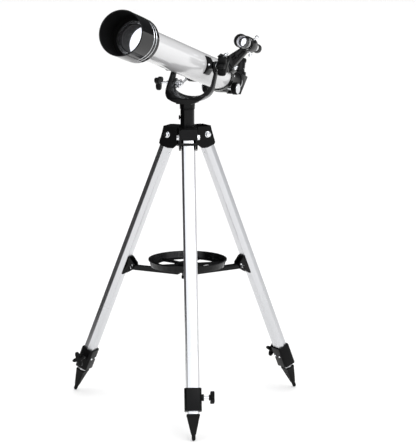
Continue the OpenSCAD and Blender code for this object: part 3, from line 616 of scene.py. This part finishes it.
# %% Altitude knobs
arm_in, arm_t = 43.5, 6.0
knob_gap = arm_in + arm_t
for name, side, out, reach, size in (("right", 1, 5, 21, 17), ("left", -1, 2.3, 18, 11)):
    on_bolt = on_tube @ turn(-90 * side, "X")
    bm = bmesh.new()
    lathe(bm, on_bolt @ turn(-90, "Y"), [(arm_in - 7, 0), (arm_in - 7, 3.6), (arm_in - 6.6, 3.94),
          (knob_gap + 0.3, 3.94), (knob_gap + 0.3, 8.8), (knob_gap + 0.6, 9), (knob_gap + 2, 9),
          (knob_gap + 2.3, 8.7), (knob_gap + 2.3, 4), (knob_gap + out + 0.5, 4),
          (knob_gap + out + 0.5, 0)], 64, slots=[1] * 10, closed=False)
    grip(bm, on_bolt, 5, reach, 11.5, knob_gap + out, knob_gap + out + size, 0.8, 2.0, math.radians(12))
    piece(f"altitude_knob_{name}_skin", bm, f"altitude_knob_{name}",
          [black_plastic, chrome], [f"altitude_knob_{name}"], 40)

# %% Clamp knob with three lobes
clamp_x, clamp_z, clamp_bolt_r = -46.0, 686.0, 2.5
rod_y_at, rod_r = -38.3, 2.5
on_clamp = on_yoke @ shift(clamp_x, 0, clamp_z) @ turn(90, "X")
bm = bmesh.new()
lathe(bm, on_clamp @ turn(-90, "Y"), [
    (-rod_y_at - rod_r - 6, 0), (-rod_y_at - rod_r - 6, 4.6), (-rod_y_at - rod_r - 5.7, 5),
    (-rod_y_at - rod_r - 2.7, 5), (-rod_y_at - rod_r - 2.6, clamp_bolt_r),
    (knob_gap + 0.3, clamp_bolt_r), (knob_gap + 0.3, 4.2), (knob_gap + 0.7, 4.6), (knob_gap + 5, 4.6),
    (knob_gap + 5.4, 4.1), (knob_gap + 6, 4.1), (knob_gap + 6.4, 4.6), (knob_gap + 15.6, 4.6),
    (knob_gap + 16, 4.2), (knob_gap + 16, clamp_bolt_r), (knob_gap + 31, clamp_bolt_r),
    (knob_gap + 31, 0)], 48, slots=[1] * 16, closed=False)
grip(bm, on_clamp, 3, 17, 8, knob_gap + 30, knob_gap + 40, 1.1, 1.8, math.radians(30))
piece("rod_clamp_knob_skin", bm, "rod_clamp_knob", [black_plastic, chrome],
      ["rod_clamp_knob"], 40)

# %% [markdown]
# ## Head of the tripod
# A turned pillar stands on the hub. It is two tubes, one inside the other, with
# a step and a groove where they meet, and a lock screw in its side. The hub is a
# moulding with a pair of cheeks for each leg.
# %% Pillar, stem and lock
hub_top, pillar_top, pillar_r, yoke_low, stem_r = 603.0, 640.0, 14.7, 652.0, 9.0
upright = turn(-90, "Y")
bm = bmesh.new()
lathe(bm, upright, [(hub_top, stem_r), (hub_top, pillar_r + 2.2), (hub_top + 0.3, pillar_r + 2.5),
                    (hub_top + 2.4, pillar_r + 2.5), (hub_top + 3, pillar_r + 1.8),
                    (hub_top + 3.1, pillar_r), (pillar_top - 0.6, pillar_r), (pillar_top, pillar_r - 0.6),
                    (pillar_top, stem_r + 0.05), (hub_top + 4, stem_r + 0.05)], 96)
piece("pillar_skin", bm, "root", black_metal, ["pillar"])
bm = bmesh.new()
lathe(bm, upright, [(hub_top + 8, 0), (hub_top + 8, stem_r - 0.6), (hub_top + 8.6, stem_r),
                    (pillar_top + 0.4, stem_r), (pillar_top + 0.4, 15.6), (pillar_top + 0.9, 16.2),
                    (pillar_top + 2.6, 16.2), (pillar_top + 3, 15.2), (pillar_top + 4.4, 15.2),
                    (pillar_top + 4.8, 16.2), (yoke_low - 0.8, 16.2), (yoke_low - 0.1, 15.6),
                    (yoke_low - 0.1, stem_r - 0.1), (yoke_low + 6.6, stem_r - 0.1), (yoke_low + 6.6, 0)],
      96, closed=False)
piece("yoke_stem_skin", bm, "yoke", black_metal, ["yoke_stem"])
moulded("azimuth_lock", black_plastic, 0.5, 2)
moulded("hub", black_plastic, 0.9, 3)
moulded("hinge_bolts", chrome, 0.35, 2)

# %% [markdown]
# ## Tray
# The tray keeps the legs apart and holds small things. It is a shallow dish
# with openings between its spokes.
# %% Tray, boss and screw
moulded("tray", black_metal, 0.7, 2)
moulded("tray_boss", black_plastic, 0.6, 2)
moulded("tray_screw", black_plastic, 0.5, 2)

# %% [markdown]
# ## Legs
# Each upper leg is a length of aluminium extrusion with six sides: a flat face
# outside and inside, and a low ridge along each flank. The sloping sides catch
# different parts of the room, which draws the dark and light stripes down a
# leg. The lower leg is a smaller one inside it.
# %% Outline of the extrusion
leg_w, leg_d, leg_flat = 29.0, 22.0, 21.0
collar_at, foot_at, lower_top = 526.0, 579.0, 110.0
upper_len, lock_screw_at = collar_at + 30, collar_at + 19
inner_w, inner_d, inner_flat = 24.6, 17.6, 18.2


def leg_outline(d, w, flat):
    """Six corners: flat faces of the given width outside and inside, a ridge on each flank."""
    x, y = d / 2, w / 2
    return [(-x, -flat / 2), (0, -y), (x, -flat / 2), (x, flat / 2), (0, y), (-x, flat / 2)]


# %% Upper legs
for leg_name in leg_names:
    place = on_leg[leg_name]
    bm = bmesh.new()
    outline = rounded(leg_outline(leg_d, leg_w, leg_flat), 1.0, 3)
    # the top is cut level, so that it clears the plate over it as the leg folds
    low = [bm.verts.new(place @ Vector((x, y, -upper_len)) * MM) for x, y in outline]
    high = [bm.verts.new(place @ Vector((x, y, min(8.9, 9.2 - x * math.tan(math.radians(splay))))) * MM)
            for x, y in outline]
    for i in range(len(outline)):
        bm.faces.new((low[i - 1], low[i], high[i], high[i - 1]))
    bm.faces.new(high)
    bm.faces.new(low[::-1])
    piece(f"{leg_name}_upper_leg_skin", bm, f"{leg_name}_leg", leg_alloy[leg_name],
          [f"{leg_name}_upper_leg"], 20)

# %% Lower legs
for leg_name in leg_names:
    bm = bmesh.new()
    outline = rounded(leg_outline(inner_d, inner_w, inner_flat), 0.9, 3)
    extrude(bm, on_leg[leg_name], outline, -foot_at - 7, -lower_top)
    piece(f"{leg_name}_lower_leg_skin", bm, f"{leg_name}_lower_leg", leg_alloy[leg_name],
          [f"{leg_name}_lower_leg"], 20)

# %% [markdown]
# ## Feet, collars and leg locks
# The rubber foot tapers from the leg's box to a round tip, so it is lofted: a
# stack of outlines that change from square to round on the way down. The lock
# collar is a moulding with a boss for the screw of its four-lobed knob.
# %% Rubber feet
tip_r = 4.0
tip_at = (hinge_z - tip_r) / math.cos(math.radians(splay))


def squarish(w, d, power, points=48):
    """Points round a shape that is square when power is high and round when it is 2."""
    result = []
    for i in range(points):
        a = 2 * math.pi * (i + 0.5) / points
        c, s = math.cos(a), math.sin(a)
        result.append((d / 2 * abs(c) ** (2 / power) * (1 if c > 0 else -1),
                       w / 2 * abs(s) ** (2 / power) * (1 if s > 0 else -1)))
    return result


for leg_name in leg_names:
    bm = bmesh.new()
    top = -foot_at
    w0, d0 = inner_w + 2.8, inner_d + 2.8
    layers = [(top, w0 - 1.2, d0 - 1.2, 7), (top - 0.5, w0, d0, 8), (top - 3.8, w0, d0, 8),
              (top - 4.6, w0 - 1, d0 - 1, 7)]
    for k in range(1, 9):
        t = k / 8
        end = -tip_at + 9
        layers.append((top - 4.6 + (end - top + 4.6) * t, (w0 - 1) * (1 - t) + 10.3 * t,
                       (d0 - 1) * (1 - t) + 10.3 * t, 7 * (1 - t) + 2 * t))
    layers += [(-tip_at + 8.6, 9.9, 9.9, 2), (-tip_at + 8.2, 8.3, 8.3, 2), (-tip_at + 2, 8, 8, 2)]
    layers += [(-tip_at - tip_r * math.sin(a), 2 * tip_r * math.cos(a), 2 * tip_r * math.cos(a), 2)
               for a in (0.0, 0.35, 0.7, 1.05, 1.3)]
    rings = [[bm.verts.new(on_leg[leg_name] @ Vector((x, y, z)) * MM) for x, y in squarish(w, d, p)]
             for z, w, d, p in layers]
    for one, two in zip(rings, rings[1:]):
        for i in range(len(one)):
            bm.faces.new((one[i - 1], one[i], two[i], two[i - 1]))
    bm.faces.new(rings[0][::-1])
    bm.faces.new(rings[-1])
    piece(f"{leg_name}_foot_skin", bm, f"{leg_name}_lower_leg", rubber,
          [f"{leg_name}_foot"], 40)

# %% Collars and their knobs
for leg_name in leg_names:
    moulded(f"{leg_name}_collar", black_plastic, 0.8, 3)
    moulded(f"{leg_name}_brace_bracket", black_metal, 0.5, 2)
    moulded(f"{leg_name}_brace_arm", black_metal, 0.5, 2)
    on_lock = on_leg[leg_name] @ shift(0, 0, -lock_screw_at) @ turn(-90, "X")
    bm = bmesh.new()
    lathe(bm, on_lock @ turn(-90, "Y"), [(inner_w / 2 + 0.2, 0), (inner_w / 2 + 0.2, 2.5),
          (inner_w / 2 + 0.7, 3), (leg_w / 2 + 18, 3), (leg_w / 2 + 18, 5.6), (leg_w / 2 + 18.4, 6),
          (leg_w / 2 + 21.5, 6), (leg_w / 2 + 21.5, 0)], 40, slots=[1, 1, 1, 0, 0, 0, 0],
          closed=False)
    grip(bm, on_lock, 4, 16, 7.5, leg_w / 2 + 21, leg_w / 2 + 29.5, 1.4, 1.3, math.radians(45))
    piece(f"{leg_name}_leg_knob_skin", bm, f"{leg_name}_leg_knob",
          [black_plastic, chrome], [f"{leg_name}_leg_knob"], 40)

# %% Rivets and screws on the legs
brace_r, brace_z = 134.0, 289.0
ear_side, spur_at, spur_above = 11.0, -26.5, 17.0
brace_along = (hinge_z - brace_z) / math.cos(math.radians(splay))
for leg_name in leg_names:
    place = on_leg[leg_name]
    rivets = [spot(place, (-leg_d / 2, 0, -along), (-1, 0, 0)) for along in (28, 42)]
    heads(f"{leg_name}_leg_rivets", rivets, f"{leg_name}_leg", alloy, 2.6, 0.7, 1.8, 20)
    # the bolt that each brace swings on, and a rivet through each spur of its bracket
    level = leg_turns[leg_name] @ shift(brace_r, 0, brace_z)
    bolts = [spot(level, (0, ear_side * side, 0), (0, side, 0)) for side in (-1, 1)]
    heads(f"{leg_name}_brace_bolts", bolts, f"{leg_name}_leg", chrome, 3.4, 1.6, 2.6, 20)
    spurs = [spot(place, (spur_at, ear_side * side, -brace_along + spur_above), (0, side, 0))
             for side in (-1, 1)]
    heads(f"{leg_name}_spur_rivets", spurs, f"{leg_name}_leg", chrome, 2.0, 0.9, 1.4, 16)
    # two screws hold each lock collar, on its inner side
    pair = [spot(place, (-leg_d / 2 - 3.9, y, -collar_at - 20), (-1, 0, 0)) for y in (-8, 8)]
    heads(f"{leg_name}_collar_screws", pair, f"{leg_name}_leg", chrome, 2.4, 1.0, 1.8, 20)

# %% [markdown]
# ## Floor, light and camera
# The object stands on a plain white floor that runs far behind it, under an
# even white sky and three soft lamps. Reflections see another room: a dark
# screen on the left, a sky that is dark behind and bright in front and on the
# right, and a bright window where the front lens mirrors it. Diffuse light does
# not bounce off the floor, so undersides stay a little darker.
# %% White floor
bm = bmesh.new()
bmesh.ops.create_grid(bm, x_segments=8, y_segments=8, size=40)
floor_mesh = bpy.data.meshes.new("floor")
bm.to_mesh(floor_mesh)
bm.free()
floor = bpy.data.objects.new("floor", floor_mesh)
bpy.context.scene.collection.objects.link(floor)
floor.location.z = -0.0006
floor_mesh.materials.append(finish("floor_white", (0.93, 0.93, 0.93), 0.7, grain=50, bump=0.0,
                                   tint=0.005, specular=0.1))
floor.visible_diffuse = False

# %% A dark screen on the left, seen only in reflections
bm = bmesh.new()
bmesh.ops.create_grid(bm, x_segments=6, y_segments=6, size=0.5, matrix=turn(90, "Y"))
screen_x, screen_y, screen_z, screen_long, screen_tall = -1.0, 1.1, 1.0, 3.8, 2.0
for v in bm.verts:
    v.co = Vector((screen_x, screen_y + v.co.y * screen_long, screen_z + v.co.z * screen_tall))
screen_mesh = bpy.data.meshes.new("dark_screen")
bm.to_mesh(screen_mesh)
bm.free()
screen = bpy.data.objects.new("dark_screen", screen_mesh)
bpy.context.scene.collection.objects.link(screen)
screen_mesh.materials.append(finish("screen_black", (0.03, 0.03, 0.03), 0.9, grain=20, bump=0.0,
                                    specular=0.0))
screen.visible_camera = screen.visible_diffuse = screen.visible_shadow = False

# %% Helpers for the nodes of the sky
scene = bpy.context.scene
scene.world = bpy.data.worlds.new("studio")
scene.world.use_nodes = True
tree = scene.world.node_tree
tree.nodes.clear()
link = tree.links.new


def node(kind, **settings):
    made = tree.nodes.new("ShaderNode" + kind)
    for key, value in settings.items():
        setattr(made, key, value)
    return made


def ramp(value, low, high, dark, light):
    """Follows a value: dark up to low, light from high on."""
    made = node("MapRange", interpolation_type="SMOOTHSTEP")
    for key, number in (("From Min", low), ("From Max", high), ("To Min", dark), ("To Max", light)):
        made.inputs[key].default_value = number
    link(value, made.inputs["Value"])
    return made.outputs["Result"]


def combine(operation, one, two):
    made = node("Math", operation=operation)
    for socket, value in zip(made.inputs, (one, two)):
        if isinstance(value, float):
            socket.default_value = value
        else:
            link(value, socket)
    return made.outputs["Value"]


# %% Sky: white for even light, with light and dark sides for the reflections
aim = node("TexCoord")
axes = node("SeparateXYZ")
link(aim.outputs["Generated"], axes.inputs["Vector"])
towards_camera = combine("MULTIPLY", axes.outputs["Y"], -0.8)
high_front = combine("ADD", towards_camera, combine("MULTIPLY", axes.outputs["Z"], 0.6))
side_light = ramp(axes.outputs["X"], -0.35, 0.5, 0.06, 0.62)
side_light = combine("MULTIPLY", side_light, ramp(axes.outputs["Y"], 0.2, 0.9, 1.0, 0.12))
glossy = combine("ADD", side_light, ramp(high_front, 0.5, 0.85, 0.0, 1.25))
# the window: the nearer a reflection points to this direction, the brighter
window = node("VectorMath", operation="DOT_PRODUCT")
link(aim.outputs["Generated"], window.inputs[0])
window.inputs[1].default_value = (-0.667, -0.676, 0.31)
glossy = combine("ADD", glossy, ramp(window.outputs["Value"], 0.8, 0.92, 0.0, 0.8))
below = ramp(axes.outputs["Z"], -0.9, 0.15, 0.45, 1.12)
even = node("Background")
even.inputs["Color"].default_value = (1.0, 1.0, 1.0, 1)
link(below, even.inputs["Strength"])
seen = node("Background")
seen.inputs["Color"].default_value = (0.95, 0.97, 1.0, 1)
link(glossy, seen.inputs["Strength"])
rays = node("LightPath")
pick = node("MixShader")
link(rays.outputs["Is Glossy Ray"], pick.inputs["Fac"])
link(even.outputs["Background"], pick.inputs[1])
link(seen.outputs["Background"], pick.inputs[2])
out = node("OutputWorld")
link(pick.outputs["Shader"], out.inputs["Surface"])
scene.view_settings.view_transform = "Standard"
print("sky:", len(tree.nodes), "nodes")


# %% Soft lamps
def lamp(name, at, target, size, power, tall=None):
    data = bpy.data.lights.new(name, "AREA")
    data.shape = "RECTANGLE"
    data.size, data.size_y = size, tall or size
    data.energy = power
    obj = bpy.data.objects.new(name, data)
    obj.location = at
    obj.rotation_euler = (Vector(target) - Vector(at)).to_track_quat("-Z", "Y").to_euler()
    scene.collection.objects.link(obj)
    return obj


lamp("key", (1.6, -3.4, 3.2), (0, 0, 0.5), 1.8, 30)
lamp("fill", (2.8, -1.6, 2.0), (0, 0, 0.5), 1.6, 14, 2.2)
lamp("top", (0.2, 0.4, 3.4), (0, 0, 0.6), 2.4, 14)

# %% Camera
camera_data = bpy.data.cameras.new("camera")
camera_data.lens = 194.25
camera_data.sensor_width = 36.0
camera_data.clip_end = 100
camera = bpy.data.objects.new("camera", camera_data)
camera.location = (0.0432, -5.0, 1.3674)
camera.rotation_euler = (math.radians(79.0), 0, 0)
scene.collection.objects.link(camera)
scene.camera = camera
